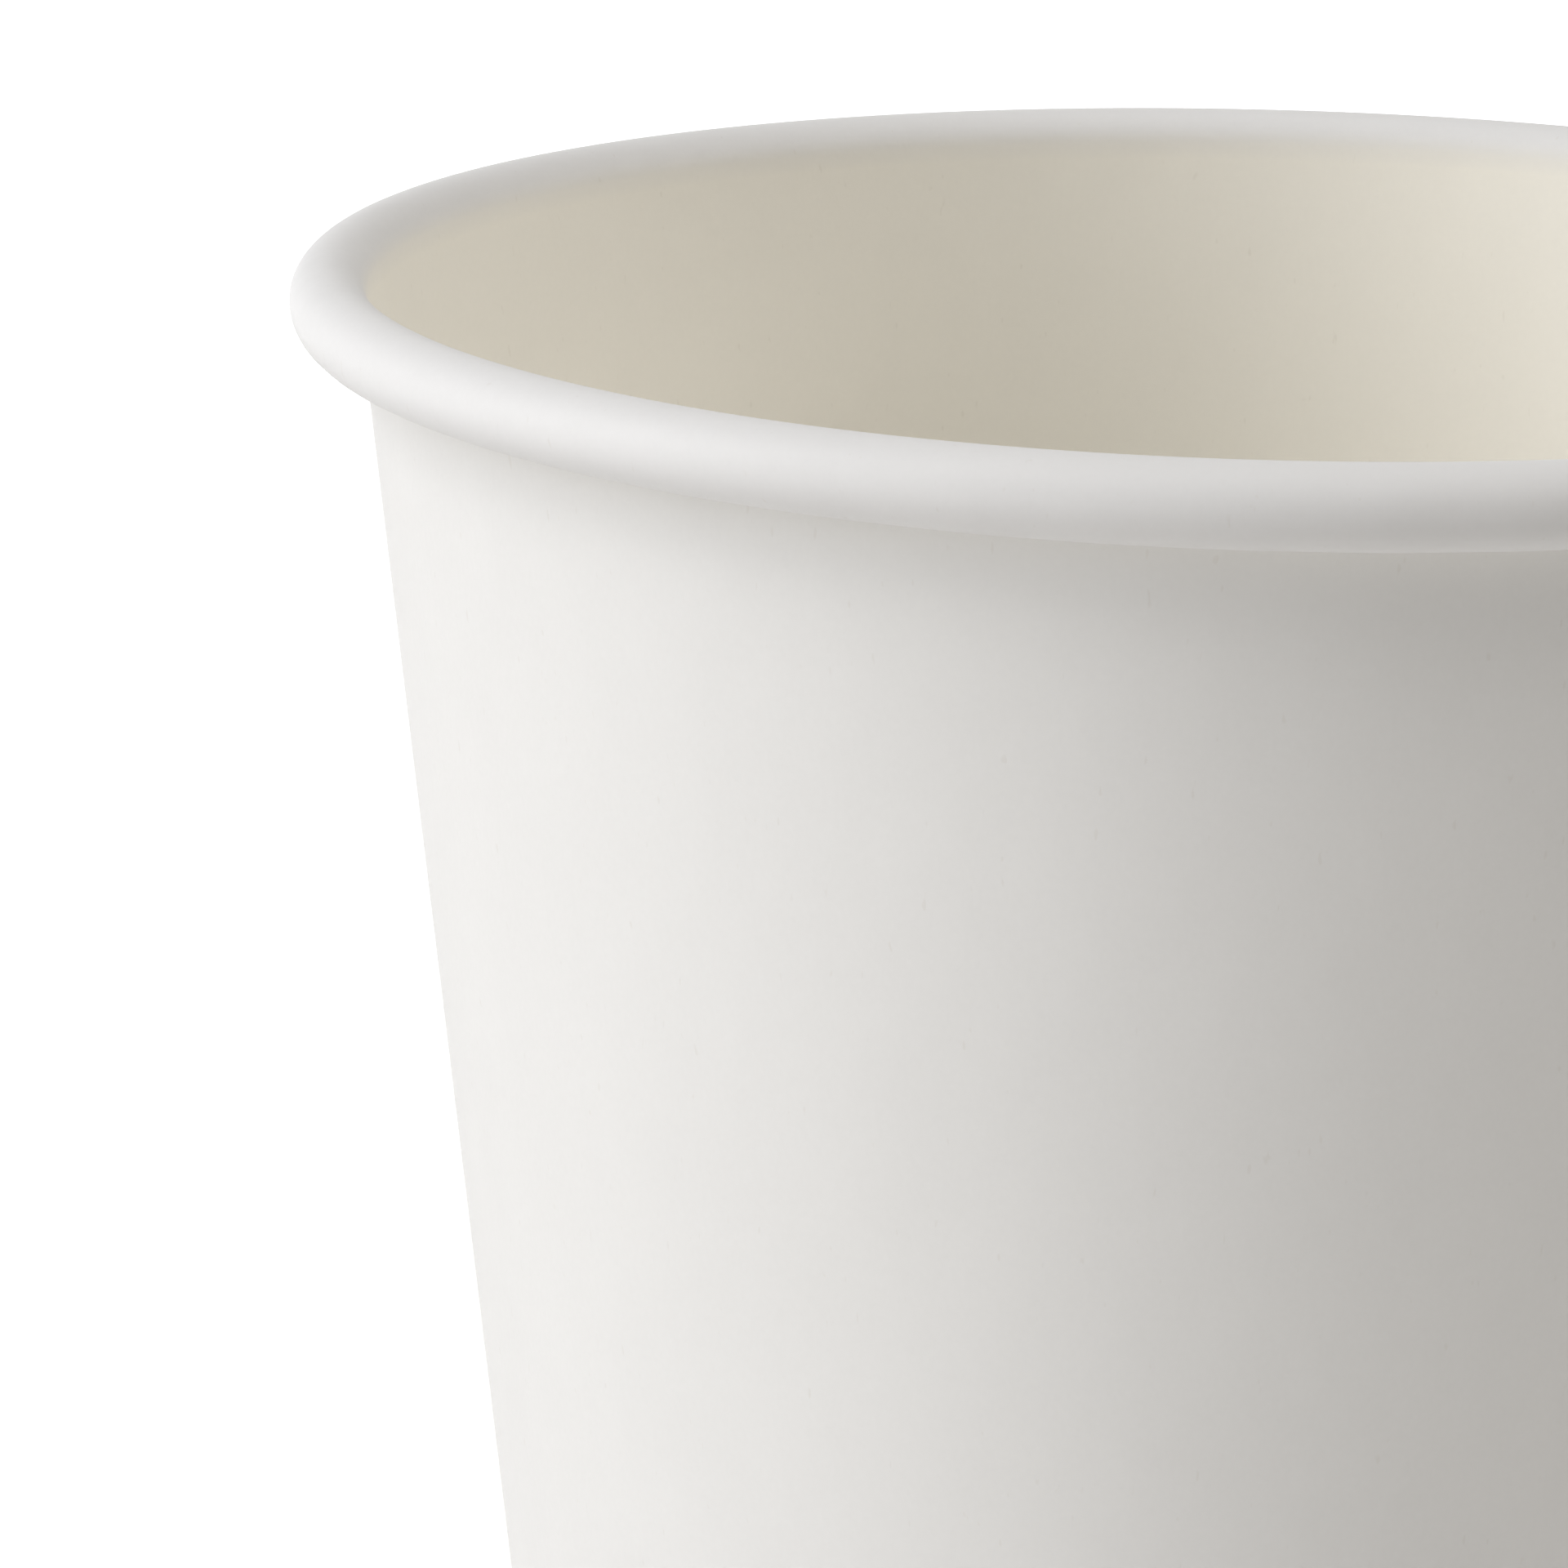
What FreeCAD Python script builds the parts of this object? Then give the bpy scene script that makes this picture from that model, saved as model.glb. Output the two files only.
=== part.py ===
# A single-wall paper coffee cup, in millimetres, standing on the XY plane with its axis on +Z.
# The side wall is one sheet of board. It is wrapped into a cone, lapped and sealed along a seam,
# rolled outwards into the rim bead and folded inwards at the foot. The bottom is a second, thinner
# disc of board with a skirt turned down, and the foot's fold holds that skirt against the wall.
import FreeCAD, Part
import math
import os
import Sketcher

# A curve's places in a sketch, as the sketch numbers them, and the sketch's own axes and origin.
START, END, CENTRE = range(1, 4)
X_AXIS, Y_AXIS = range(-1, -3, -1)
ORIGIN = (X_AXIS, START)
UP = FreeCAD.Vector(0, 0, 1)

# Driving sizes, in millimetres and degrees.
DRIVING = {
    "cup_height": 110.0,
    "rim_diameter": 90.0,
    "base_diameter": 60.0,
    "bead_diameter": 3.6,
    "wall_board": 0.45,
    "bottom_board": 0.35,
    "roll_angle": 60.0,
    "tuck_angle": 155.0,
    "tuck_gap": 0.05,
    "crease_radius": 0.05,
    "seal_gap": 0.02,
    "hem_height": 7.0,
    "disc_above_hem": 1.5,
    "disc_bend": 0.5,
    "skirt_above_foot": 0.3,
    "seam_lap": 6.5,
    "seam_step": 0.3,
    "seam_ramp": 2.0,
    "seam_azimuth": -35.0,
}

doc = FreeCAD.newDocument("paper_cup")
sizes = doc.addObject("Spreadsheet::Sheet", "Sizes")
for row, (alias, value) in enumerate(DRIVING.items(), start=1):
    sizes.set(f"A{row}", alias)
    sizes.set(f"B{row}", str(value))
    sizes.setAlias(f"B{row}", alias)
doc.recompute()
derived = doc.addObject("App::VarSet", "Derived")


def derive(name, expression):
    """Adds a size that follows others, in millimetres or degrees, and gives the term for it."""
    derived.addProperty("App::PropertyFloat", name)
    derived.setExpression(name, expression)
    derived.recompute()
    return f"Derived.{name}"


def number(term):
    """The number that a term such as Sizes.wall_board or Derived.taper stands for."""
    table, name = term.split(".")
    return float(getattr(doc.getObject(table), name))


# The rolled rim: the bead's radii and the centre of its curl, in the half plane of the axis.
BEAD = derive("bead_radius", "Sizes.bead_diameter / 2")
BEAD_INSIDE = derive("bead_inside_radius", f"{BEAD} - Sizes.wall_board")
CURL_R = derive("curl_radius_from_axis", f"Sizes.rim_diameter / 2 - {BEAD}")
CURL_Z = derive("curl_height", f"Sizes.cup_height - {BEAD}")

# The wall's lean: its outer face runs from the base diameter to the inside of the curl.
BASE = derive("base_radius", "Sizes.base_diameter / 2")
SPREAD = derive("curl_spread", f"{CURL_R} - {BASE}")
SIGHT = derive("curl_sight_angle", f"atan2({CURL_Z}; {SPREAD}) / 1 deg")
TAPER = derive("taper", f"acos({BEAD_INSIDE} / hypot({SPREAD}; {CURL_Z})) / 1 deg - {SIGHT}")

# The curl tightens by this much where its raw edge tucks in, so that it clears the wall.
TUCK_LEAN = derive("tuck_lean", f"Sizes.roll_angle - {TAPER}")
TUCK_STEP = derive("tuck_step", f"(Sizes.wall_board + Sizes.tuck_gap) / (1 + cos({TUCK_LEAN} * 1 deg))")
TUCK = derive("tuck_radius", f"{BEAD} - {TUCK_STEP}")
ROLL_BEARING = derive("roll_bearing", "-Sizes.roll_angle")
RAW_BEARING = derive("raw_edge_bearing", "-(Sizes.roll_angle + Sizes.tuck_angle)")

# The foot: two creases in the board, with the bottom's skirt and the seal either side between them.
CREASE_OUTSIDE = derive("crease_outside_radius", "Sizes.crease_radius + Sizes.wall_board")
POCKET = derive("pocket_width", "Sizes.bottom_board + 2 * Sizes.seal_gap")

# The bottom: its underside, its skirt's outer face where that would meet the floor, and its ends.
DISC_UNDERSIDE = derive("disc_underside", "Sizes.hem_height + Sizes.disc_above_hem")
SKIRT_INSET = derive("skirt_inset", f"(Sizes.wall_board + Sizes.seal_gap) / cos({TAPER} * 1 deg)")
SKIRT_FACE = derive("skirt_face_radius", f"{BASE} - {SKIRT_INSET}")
SKIRT_FOOT = derive("skirt_foot_height", "Sizes.wall_board + Sizes.skirt_above_foot")
SKIRT_BEARING = derive("skirt_bearing", f"-(90 + {TAPER})")
BEND_OUTSIDE = derive("bend_outside_radius", "Sizes.disc_bend + Sizes.bottom_board")

# The seam: where the upper layer starts, where the lower layer ends, and where the ramp runs out.
LAP_START = derive("lap_start", "-Sizes.seam_lap / 2")
LAP_END = derive("lap_end", "Sizes.seam_lap / 2")
RAMP_END = derive("ramp_end", f"{LAP_END} + Sizes.seam_ramp")


def point(r, z):
    return FreeCAD.Vector(r, z, 0)


def line(first, last):
    return Part.LineSegment(first, last)


def arc(centre, radius, first, last):
    """An arc run anticlockwise between two angles in degrees."""
    circle = Part.Circle(centre, UP, radius)
    return Part.ArcOfCircle(circle, math.radians(first), math.radians(last))


def wall_directions():
    """The directions up along the wall and out of it, in the half plane of the axis."""
    slope = math.radians(number(TAPER))
    return point(math.sin(slope), math.cos(slope)), point(math.cos(slope), -math.sin(slope))


class Outline:
    """A sketch whose pieces have names, and whose dimensions follow the driving sizes."""

    def __init__(self, body, name, plane, height=None):
        self.sketch = body.newObject("Sketcher::SketchObject", name)
        support = next(f for f in body.Origin.OriginFeatures if f.Role == plane)
        self.sketch.AttachmentSupport = [(support, "")]
        self.sketch.MapMode = "FlatFace"
        if height is not None:
            self.sketch.setExpression("AttachmentOffset.Base.z", height)
        self.index = {}

    def add(self, name, shape, guide=False):
        self.index[name] = self.sketch.addGeometry(shape, guide)

    def end(self, place):
        """A place such as ("wall_outer", END) as the sketch's own numbers."""
        name, which = place
        return (self.index.get(name, name), which)

    def tangent(self, first, second):
        self.sketch.addConstraint(Sketcher.Constraint("Tangent", *self.end(first), *self.end(second)))

    def join(self, first, second):
        self.sketch.addConstraint(Sketcher.Constraint("Coincident", *self.end(first), *self.end(second)))

    def on(self, place, name):
        target = self.index.get(name, name)
        self.sketch.addConstraint(Sketcher.Constraint("PointOnObject", *self.end(place), target))

    def above(self, upper, lower):
        ends = self.end(upper) + self.end(lower)
        self.sketch.addConstraint(Sketcher.Constraint("Vertical", *ends))

    def relate(self, kind, *names):
        self.sketch.addConstraint(Sketcher.Constraint(kind, *(self.index[name] for name in names)))

    def measure(self, label, term, kind, *places):
        """A named dimension that follows a term."""
        ends = []
        for place in places:
            ends += self.end(place) if isinstance(place, tuple) else [self.index[place]]
        turned = kind == "Angle"
        first = math.radians(number(term)) if turned else number(term)
        index = self.sketch.addConstraint(Sketcher.Constraint(kind, *ends, first))
        self.sketch.renameConstraint(index, label)
        self.sketch.setExpression(f"Constraints.{label}", f"{term} * 1 deg" if turned else term)


def add_rolled_rim(outline):
    """The bead: the board curls outwards over its lip, and its raw edge tucks in tighter.

    Gives the ends of the curl's inner face and of the lip, where the wall's two faces start.
    """
    bead, inside, tuck = number(BEAD), number(BEAD_INSIDE), number(TUCK)
    board = number("Sizes.wall_board")
    roll, raw = number(ROLL_BEARING), number(RAW_BEARING)
    facing = 180 - number(TAPER)
    across = wall_directions()[1]
    centre = point(number(CURL_R), number(CURL_Z))
    roll_ray = point(math.cos(math.radians(roll)), math.sin(math.radians(roll)))
    raw_ray = point(math.cos(math.radians(raw)), math.sin(math.radians(raw)))
    tuck_centre = centre + roll_ray * number(TUCK_STEP)

    outline.add("curl_inner", arc(centre, inside, roll, facing))
    outline.add("tuck_inner", arc(tuck_centre, tuck - board, raw, roll))
    outline.add("curl_end", line(tuck_centre + raw_ray * (tuck - board), tuck_centre + raw_ray * tuck))
    outline.add("tuck_outer", arc(tuck_centre, tuck, raw, roll))
    outline.add("curl_outer", arc(centre, bead, roll, 90))
    outline.add("lip", arc(centre, bead, 90, facing))
    outline.add("roll_guide", line(centre, centre + roll_ray * bead), True)
    outline.add("tuck_guide", line(tuck_centre, tuck_centre + raw_ray * tuck), True)
    return centre - across * inside, centre - across * bead


def add_folded_foot(outline):
    """The foot: the board turns in, runs flat for the width of the pocket, and turns up as a hem.

    Gives the ends of the outer crease's two faces, where the wall's two faces end.
    """
    board, crease = number("Sizes.wall_board"), number("Sizes.crease_radius")
    outside = number(CREASE_OUTSIDE)
    facing = 180 - number(TAPER)
    along, across = wall_directions()
    base = point(number(BASE), 0)

    def crease_centre(inset):
        """The centre of a crease that lies this far inside the wall's outer face."""
        return base - across * inset + along * ((outside - inset * along.x) / along.y)

    wall_crease = crease_centre(outside)
    hem_crease = crease_centre(number(POCKET) + 2 * board - crease)
    hem_base = hem_crease - across * outside
    hem_top = hem_base + along * ((number("Sizes.hem_height") - hem_base.y) / along.y)

    outline.add("wall_corner_inner", arc(wall_crease, crease, -90, facing - 180))
    outline.add("foot_inner", line(wall_crease - point(0, crease), hem_crease - point(0, crease)))
    outline.add("hem_corner_inner", arc(hem_crease, crease, facing, 270))
    outline.add("hem_outer", line(hem_crease - across * crease, hem_top + across * board))
    outline.add("hem_end", line(hem_top + across * board, hem_top))
    outline.add("hem_inner", line(hem_top, hem_base))
    outline.add("hem_corner_outer", arc(hem_crease, outside, facing, 270))
    outline.add("foot", line(hem_crease - point(0, outside), wall_crease - point(0, outside)))
    outline.add("wall_corner_outer", arc(wall_crease, outside, -90, facing - 180))
    return wall_crease + across * outside, wall_crease + across * crease


def wall_section(body):
    """The section of the side wall's board: rolled rim, wall and folded foot."""
    outline = Outline(body, "wall_section", "XZ_Plane")
    outer_top, inner_top = add_rolled_rim(outline)
    outer_foot, inner_foot = add_folded_foot(outline)
    outline.add("wall_outer", line(outer_foot, outer_top))
    outline.add("wall_inner", line(inner_top, inner_foot))
    outline.add("base_mark", Part.Point(point(number(BASE), 0)), True)

    outline.tangent(("wall_outer", END), ("curl_inner", END))
    outline.tangent(("curl_inner", START), ("tuck_inner", END))
    outline.join(("tuck_inner", START), ("curl_end", START))
    outline.join(("curl_end", END), ("tuck_outer", START))
    outline.tangent(("tuck_outer", END), ("curl_outer", START))
    outline.join(("curl_outer", END), ("lip", START))
    outline.tangent(("lip", END), ("wall_inner", START))
    outline.tangent(("wall_inner", END), ("wall_corner_inner", END))
    outline.tangent(("wall_corner_inner", START), ("foot_inner", START))
    outline.tangent(("foot_inner", END), ("hem_corner_inner", END))
    outline.tangent(("hem_corner_inner", START), ("hem_outer", START))
    outline.join(("hem_outer", END), ("hem_end", START))
    outline.join(("hem_end", END), ("hem_inner", START))
    outline.tangent(("hem_inner", END), ("hem_corner_outer", START))
    outline.tangent(("hem_corner_outer", END), ("foot", START))
    outline.tangent(("foot", END), ("wall_corner_outer", START))
    outline.tangent(("wall_corner_outer", END), ("wall_outer", START))

    outline.join(("curl_inner", CENTRE), ("curl_outer", CENTRE))
    outline.join(("lip", CENTRE), ("curl_outer", CENTRE))
    outline.above(("lip", START), ("lip", CENTRE))
    outline.join(("tuck_inner", CENTRE), ("tuck_outer", CENTRE))
    outline.join(("wall_corner_inner", CENTRE), ("wall_corner_outer", CENTRE))
    outline.join(("hem_corner_inner", CENTRE), ("hem_corner_outer", CENTRE))
    outline.join(("roll_guide", START), ("curl_outer", CENTRE))
    outline.join(("roll_guide", END), ("curl_outer", START))
    outline.join(("tuck_guide", START), ("tuck_outer", CENTRE))
    outline.join(("tuck_guide", END), ("tuck_outer", START))
    outline.on(("tuck_inner", START), "tuck_guide")

    outline.on(("base_mark", START), X_AXIS)
    outline.on(("base_mark", START), "wall_outer")
    outline.on(("foot", START), X_AXIS)
    outline.relate("Horizontal", "foot")
    outline.relate("Parallel", "hem_outer", "wall_inner")
    outline.relate("Parallel", "hem_inner", "hem_outer")
    outline.relate("Perpendicular", "hem_end", "hem_outer")

    outline.measure("curl_r", CURL_R, "DistanceX", ORIGIN, ("curl_outer", CENTRE))
    outline.measure("curl_z", CURL_Z, "DistanceY", ORIGIN, ("curl_outer", CENTRE))
    outline.measure("bead", BEAD, "Radius", "curl_outer")
    outline.measure("bead_inside", BEAD_INSIDE, "Radius", "curl_inner")
    outline.measure("tuck", TUCK, "Radius", "tuck_outer")
    outline.measure("roll", ROLL_BEARING, "Angle", "roll_guide")
    outline.measure("raw_edge", RAW_BEARING, "Angle", "tuck_guide")
    outline.measure("base", BASE, "DistanceX", ORIGIN, ("base_mark", START))
    for corner in ("wall_corner", "hem_corner"):
        outline.measure(f"{corner}_outside", CREASE_OUTSIDE, "Radius", f"{corner}_outer")
        outline.measure(f"{corner}_inside", "Sizes.crease_radius", "Radius", f"{corner}_inner")
    outline.measure("pocket", POCKET, "Distance", ("hem_outer", END), "wall_inner")
    outline.measure("hem", "Sizes.hem_height", "DistanceY", ORIGIN, ("hem_inner", START))
    return outline.sketch


def wall_radius(name, height):
    """The radius of the wall's outer face at a height."""
    return derive(f"{name}_wall_radius", f"{BASE} + {height} * tan({TAPER} * 1 deg)")


def lap_section(body, name, height):
    """The raised lap of the seam at one height: a raw edge on one side, a ramp on the other."""
    wall = wall_radius(name, height)
    raised = derive(f"{name}_face_radius", f"{wall} + Sizes.seam_step")
    rooted = derive(f"{name}_root_radius", f"{wall} - Sizes.wall_board / 2")
    outer, inner = number(raised), number(rooted)
    start, end, foot = number(LAP_START), number(LAP_END), number(RAMP_END)
    centre = point(0, 0)

    def on_circle(radius, offset):
        return point(math.sqrt(radius**2 - offset**2), offset)

    def between(radius, first, last):
        """An arc about the axis whose ends are offset sideways from its middle line."""
        bearings = [math.degrees(math.asin(offset / radius)) for offset in (first, last)]
        return arc(centre, radius, *bearings)

    outline = Outline(body, name, "XY_Plane", height)
    outline.add("lap_face", between(outer, start, end))
    outline.add("ramp", line(on_circle(outer, end), on_circle(inner, foot)))
    outline.add("root", between(inner, start, foot))
    outline.add("raw_edge", line(on_circle(inner, start), on_circle(outer, start)))
    outline.join(("lap_face", END), ("ramp", START))
    outline.join(("ramp", END), ("root", END))
    outline.join(("root", START), ("raw_edge", START))
    outline.join(("raw_edge", END), ("lap_face", START))
    outline.join(("lap_face", CENTRE), ORIGIN)
    outline.join(("root", CENTRE), ORIGIN)
    outline.relate("Horizontal", "raw_edge")
    outline.measure("raised", raised, "Radius", "lap_face")
    outline.measure("rooted", rooted, "Radius", "root")
    outline.measure("lap_start", LAP_START, "DistanceY", ORIGIN, ("raw_edge", START))
    outline.measure("lap_end", LAP_END, "DistanceY", ORIGIN, ("lap_face", END))
    outline.measure("ramp_end", RAMP_END, "DistanceY", ORIGIN, ("root", END))
    return outline.sketch


def groove_section(body, name, height):
    """The notch inside the seam at one height, where the wall leaves the under layer's raw edge."""
    wall = wall_radius(name, height)
    face = derive(f"{name}_inner_radius", f"{wall} - Sizes.wall_board / cos({TAPER} * 1 deg)")
    deep = derive(f"{name}_depth", f"sqrt(({face} + Sizes.seam_step)^2 - {LAP_END}^2)")
    clear = derive(f"{name}_mouth", f"sqrt({face}^2 - {RAMP_END}^2) - Sizes.seam_step / 2")
    depth = point(number(deep), number(LAP_END))
    mouth = point(number(clear), number(LAP_END))
    runout = point(number(clear), number(RAMP_END))

    outline = Outline(body, name, "XY_Plane", height)
    outline.add("under_edge", line(mouth, depth))
    outline.add("slant", line(depth, runout))
    outline.add("opening", line(runout, mouth))
    outline.join(("under_edge", END), ("slant", START))
    outline.join(("slant", END), ("opening", START))
    outline.join(("opening", END), ("under_edge", START))
    outline.relate("Horizontal", "under_edge")
    outline.relate("Vertical", "opening")
    outline.measure("deep", deep, "DistanceX", ORIGIN, ("under_edge", END))
    outline.measure("clear", clear, "DistanceX", ORIGIN, ("under_edge", START))
    outline.measure("edge", LAP_END, "DistanceY", ORIGIN, ("under_edge", START))
    outline.measure("far", RAMP_END, "DistanceY", ORIGIN, ("slant", END))
    return outline.sketch


def disc_section(body):
    """The section of the bottom's board: a flat disc, a bend and a skirt along the wall."""
    along, across = wall_directions()
    board, bend, outside = number("Sizes.bottom_board"), number("Sizes.disc_bend"), number(BEND_OUTSIDE)
    facing = -number(TAPER)
    underside = number(DISC_UNDERSIDE)
    top = underside + board
    mark = point(number(SKIRT_FACE), 0)
    centre = mark - across * outside + along * ((underside - bend - outside * along.x) / along.y)
    foot = mark + along * (number(SKIRT_FOOT) / along.y)

    outline = Outline(body, "disc_section", "XZ_Plane")
    outline.add("middle", line(point(0, underside), point(0, top)))
    outline.add("top", line(point(0, top), point(centre.x, top)))
    outline.add("bend_outer", arc(centre, outside, facing, 90))
    outline.add("skirt_outer", line(centre + across * outside, foot))
    outline.add("skirt_end", line(foot, foot - across * board))
    outline.add("skirt_inner", line(foot - across * board, centre + across * bend))
    outline.add("bend_inner", arc(centre, bend, facing, 90))
    outline.add("underside", line(point(centre.x, underside), point(0, underside)))
    outline.add("skirt_mark", Part.Point(mark), True)

    outline.tangent(("top", END), ("bend_outer", END))
    outline.tangent(("bend_outer", START), ("skirt_outer", START))
    outline.join(("skirt_outer", END), ("skirt_end", START))
    outline.join(("skirt_end", END), ("skirt_inner", START))
    outline.tangent(("skirt_inner", END), ("bend_inner", START))
    outline.tangent(("bend_inner", END), ("underside", START))
    outline.join(("underside", END), ("middle", START))
    outline.join(("middle", END), ("top", START))
    outline.join(("bend_inner", CENTRE), ("bend_outer", CENTRE))

    outline.on(("middle", START), Y_AXIS)
    outline.on(("middle", END), Y_AXIS)
    outline.on(("skirt_mark", START), X_AXIS)
    outline.on(("skirt_mark", START), "skirt_outer")
    outline.relate("Horizontal", "top")
    outline.relate("Horizontal", "underside")
    outline.relate("Parallel", "skirt_inner", "skirt_outer")
    outline.relate("Perpendicular", "skirt_end", "skirt_outer")

    outline.measure("recess", DISC_UNDERSIDE, "DistanceY", ORIGIN, ("middle", START))
    outline.measure("bend", "Sizes.disc_bend", "Radius", "bend_inner")
    outline.measure("bend_outside", BEND_OUTSIDE, "Radius", "bend_outer")
    outline.measure("lean", SKIRT_BEARING, "Angle", "skirt_outer")
    outline.measure("skirt_face", SKIRT_FACE, "DistanceX", ORIGIN, ("skirt_mark", START))
    outline.measure("skirt_foot", SKIRT_FOOT, "DistanceY", ORIGIN, ("skirt_outer", END))
    return outline.sketch


def revolve(body, sketch, name):
    feature = body.newObject("PartDesign::Revolution", name)
    feature.Profile = sketch
    feature.ReferenceAxis = (sketch, ["V_Axis"])
    feature.Angle = 360


def loft(body, kind, name, first, last):
    feature = body.newObject(f"PartDesign::{kind}Loft", name)
    feature.Profile = first
    feature.Sections = [last]
    feature.Ruled = True


def side_wall():
    """The wall, rolled rim and folded foot, with the lapped seam up one side."""
    body = doc.addObject("PartDesign::Body", "side_wall")
    revolve(body, wall_section(body), "wrapped_board")
    lap_low = lap_section(body, "lap_at_foot", CREASE_OUTSIDE)
    lap_high = lap_section(body, "lap_at_rim", CURL_Z)
    loft(body, "Additive", "seam_lap", lap_low, lap_high)
    groove_low = groove_section(body, "groove_at_disc", DISC_UNDERSIDE)
    groove_high = groove_section(body, "groove_at_rim", CURL_Z)
    loft(body, "Subtractive", "seam_groove", groove_low, groove_high)
    body.setExpression("Placement.Rotation.Angle", "Sizes.seam_azimuth * 1 deg")
    return body


def bottom_disc():
    """The bottom: a pressed disc of thinner board, set up inside the foot."""
    body = doc.addObject("PartDesign::Body", "bottom_disc")
    revolve(body, disc_section(body), "pressed_board")
    return body


def check(bodies):
    """Stops the build if anything failed, or if a piece isn't one good solid."""
    for item in doc.Objects:
        if {"Invalid", "Error"} & set(item.State):
            raise RuntimeError(f"{item.Name} failed: {item.State}")
    for body in bodies:
        shape = body.Shape
        if shape.isNull() or not shape.isValid() or len(shape.Solids) != 1:
            raise RuntimeError(f"{body.Name} isn't one valid solid")
    groove = doc.getObject("seam_groove")
    if groove.Shape.Volume >= doc.getObject("seam_lap").Shape.Volume:
        raise RuntimeError("the seam's groove cut nothing")


def main():
    pieces = [side_wall(), bottom_disc()]
    doc.recompute()
    check(pieces)
    os.makedirs("parts", exist_ok=True)
    for piece in pieces:
        piece.Label = piece.Name
        piece.Shape.exportStep(f"parts/{piece.Label}.step")
        box = piece.Shape.BoundBox
        print(piece.Label, f"volume {piece.Shape.Volume:.1f}", f"z {box.ZMin:.3f} to {box.ZMax:.3f}")


main()
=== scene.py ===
import math
import bpy
from bpy.props import FloatProperty, FloatVectorProperty, IntProperty, PointerProperty
from mathutils import Matrix, Vector, noise


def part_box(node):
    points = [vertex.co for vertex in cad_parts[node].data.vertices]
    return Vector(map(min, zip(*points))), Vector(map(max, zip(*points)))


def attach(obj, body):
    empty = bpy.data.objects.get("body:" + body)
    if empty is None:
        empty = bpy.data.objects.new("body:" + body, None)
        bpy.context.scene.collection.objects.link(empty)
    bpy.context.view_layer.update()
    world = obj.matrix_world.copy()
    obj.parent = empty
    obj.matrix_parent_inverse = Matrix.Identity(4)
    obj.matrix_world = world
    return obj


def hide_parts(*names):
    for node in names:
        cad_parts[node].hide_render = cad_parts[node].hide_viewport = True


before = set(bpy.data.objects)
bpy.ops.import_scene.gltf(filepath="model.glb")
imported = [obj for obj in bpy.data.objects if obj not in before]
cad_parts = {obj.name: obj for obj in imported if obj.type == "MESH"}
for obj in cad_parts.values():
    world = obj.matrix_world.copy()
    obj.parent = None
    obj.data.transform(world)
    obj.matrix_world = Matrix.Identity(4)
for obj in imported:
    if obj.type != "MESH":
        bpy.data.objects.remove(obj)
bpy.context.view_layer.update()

bl_info = {
    "name": "Paper Coffee Cup",
    "version": (1, 0, 0),
    "blender": (4, 5, 0),
    "location": "3D View > Sidebar > Paper Cup",
    "description": "Builds a single-wall paper coffee cup: its side wall, its bottom and a plain studio",
    "category": "Add Mesh",
}

MM = 0.001
WALL_LOW, WALL_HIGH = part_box("side_wall")
DISC_LOW, DISC_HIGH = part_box("bottom_disc")
RIM_REACH = max(WALL_HIGH.x, WALL_HIGH.y, -WALL_LOW.x, -WALL_LOW.y)

# The faces of the board, in the order of the pieces' material slots.
OUTSIDE, INSIDE, RAW = range(3)

# How finely the pieces are cut up.
SEAM_PITCH = 0.3 * MM
WALL_ROWS = 620
ROWS_PER_PUCKER = 6
SHARP_ANGLE = math.radians(33)

# Nearer to the axis, or to each other, than these is the same place.
ON_AXIS = 1e-7
SAME_PLACE = 1e-9

WHITE = (1.0, 1.0, 1.0)


def length(name, description, default):
    """A length in metres that a user can change."""
    return FloatProperty(name=name, description=description, default=default, unit="LENGTH", precision=5)


def angle(name, description, degrees):
    """An angle that a user can change, given here in degrees."""
    return FloatProperty(name=name, description=description, default=math.radians(degrees), subtype="ANGLE")


def share(name, description, default):
    """A plain number that a user can change."""
    return FloatProperty(name=name, description=description, default=default, min=0.0)


def colour(name, description, default):
    """A colour that a user can change."""
    return FloatVectorProperty(
        name=name, description=description, default=default, subtype="COLOR", min=0.0, max=1.0
    )


def number(name, description, default):
    """A whole number, three or more, that a user can change."""
    return IntProperty(name=name, description=description, default=default, min=3)


class CupSizes(bpy.types.PropertyGroup):
    height: length("Height", "Height over the rolled rim", WALL_HIGH.z)
    rim_radius: length("Rim radius", "Radius over the rolled rim", RIM_REACH)
    base_radius: length("Base radius", "Radius of the wall's outer face at floor level", 30 * MM)
    bead_radius: length("Bead radius", "Radius of the rolled rim's own round section", 1.8 * MM)
    wall_board: length("Wall board", "Thickness of the side wall's board", 0.45 * MM)
    bottom_board: length("Bottom board", "Thickness of the bottom's board", 0.35 * MM)
    roll_angle: angle("Roll angle", "How far below level, on the outside, the roll starts to tighten", 60)
    tuck_angle: angle("Tuck angle", "How far the tightened roll turns before its raw edge", 155)
    tuck_gap: length("Tuck gap", "Gap between the tucked raw edge and the wall", 0.05 * MM)
    crease_radius: length("Crease radius", "Radius inside the foot's two creases", 0.05 * MM)
    hem_height: length("Hem height", "Height of the foot's hem", 7 * MM)
    seal_gap: length("Seal gap", "Gap between the bottom's skirt and the board on either side", 0.02 * MM)
    disc_top: length("Bottom height", "Height of the bottom's upper face", DISC_HIGH.z)
    disc_bend: length("Bottom bend", "Radius inside the bend from the bottom to its skirt", 0.5 * MM)
    skirt_foot: length("Skirt foot", "Height of the skirt's raw edge", DISC_LOW.z)


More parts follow.
